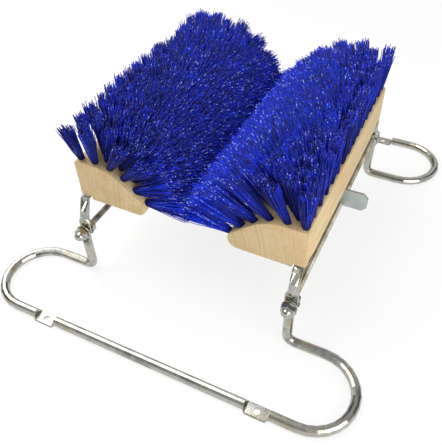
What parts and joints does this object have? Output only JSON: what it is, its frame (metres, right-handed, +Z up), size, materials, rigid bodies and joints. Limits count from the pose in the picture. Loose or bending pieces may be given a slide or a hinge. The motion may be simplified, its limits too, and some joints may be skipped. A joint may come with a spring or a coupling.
{
  "type": "boot brush",
  "caption": "Floor-standing boot scrubber: two bristled wooden blocks that swing on rods over bent tube feet.",
  "frame": {"origin": "on the floor under the middle of the brush", "axes": "+Z up, +Y the way a boot is drawn through between the blocks, +X toward the right-hand block"},
  "size_m": [0.3964, 0.4574, 0.1884],
  "materials": {
    "zinc": "bright zinc plate",
    "steel": "plain satin",
    "wood": "bare sanded hardwood",
    "bristles": "glossy blue filament"
  },
  "bodies": {
    "stand": {"front_foot_frame": "zinc", "rear_foot_frame": "zinc", "cross_bar": "steel", "left_rod": "zinc", "right_rod": "zinc", "front_left_outer_washer": "zinc", "front_right_outer_washer": "zinc", "rear_left_outer_washer": "zinc", "rear_right_outer_washer": "zinc", "front_left_dome_nut": "zinc", "front_right_dome_nut": "zinc", "rear_left_dome_nut": "zinc", "rear_right_dome_nut": "zinc", "front_left_inner_washer": "zinc", "front_right_inner_washer": "zinc", "rear_left_inner_washer": "zinc", "rear_right_inner_washer": "zinc", "front_left_inner_nut": "zinc", "front_right_inner_nut": "zinc", "rear_left_inner_nut": "zinc", "rear_right_inner_nut": "zinc"},
    "left_brush": {"left_block": "wood", "left_bristles": "bristles", "front_left_link": "zinc", "rear_left_link": "zinc", "front_left_link_screw": "zinc", "rear_left_link_screw": "zinc"},
    "right_brush": {"right_block": "wood", "right_bristles": "bristles", "front_right_link": "zinc", "rear_right_link": "zinc", "front_right_link_screw": "zinc", "rear_right_link_screw": "zinc"}
  },
  "joints": [
    {"name": "left_brush_swing", "type": "hinge", "parent": "stand", "child": "left_brush", "pos_m": [-0.114, 0, 0.0585], "axis": [0, 1, 0], "range_deg": [-38, 0]},
    {"name": "right_brush_swing", "type": "hinge", "parent": "stand", "child": "right_brush", "pos_m": [0.114, 0, 0.0585], "axis": [0, 1, 0], "range_deg": [0, 38]}
  ]
}
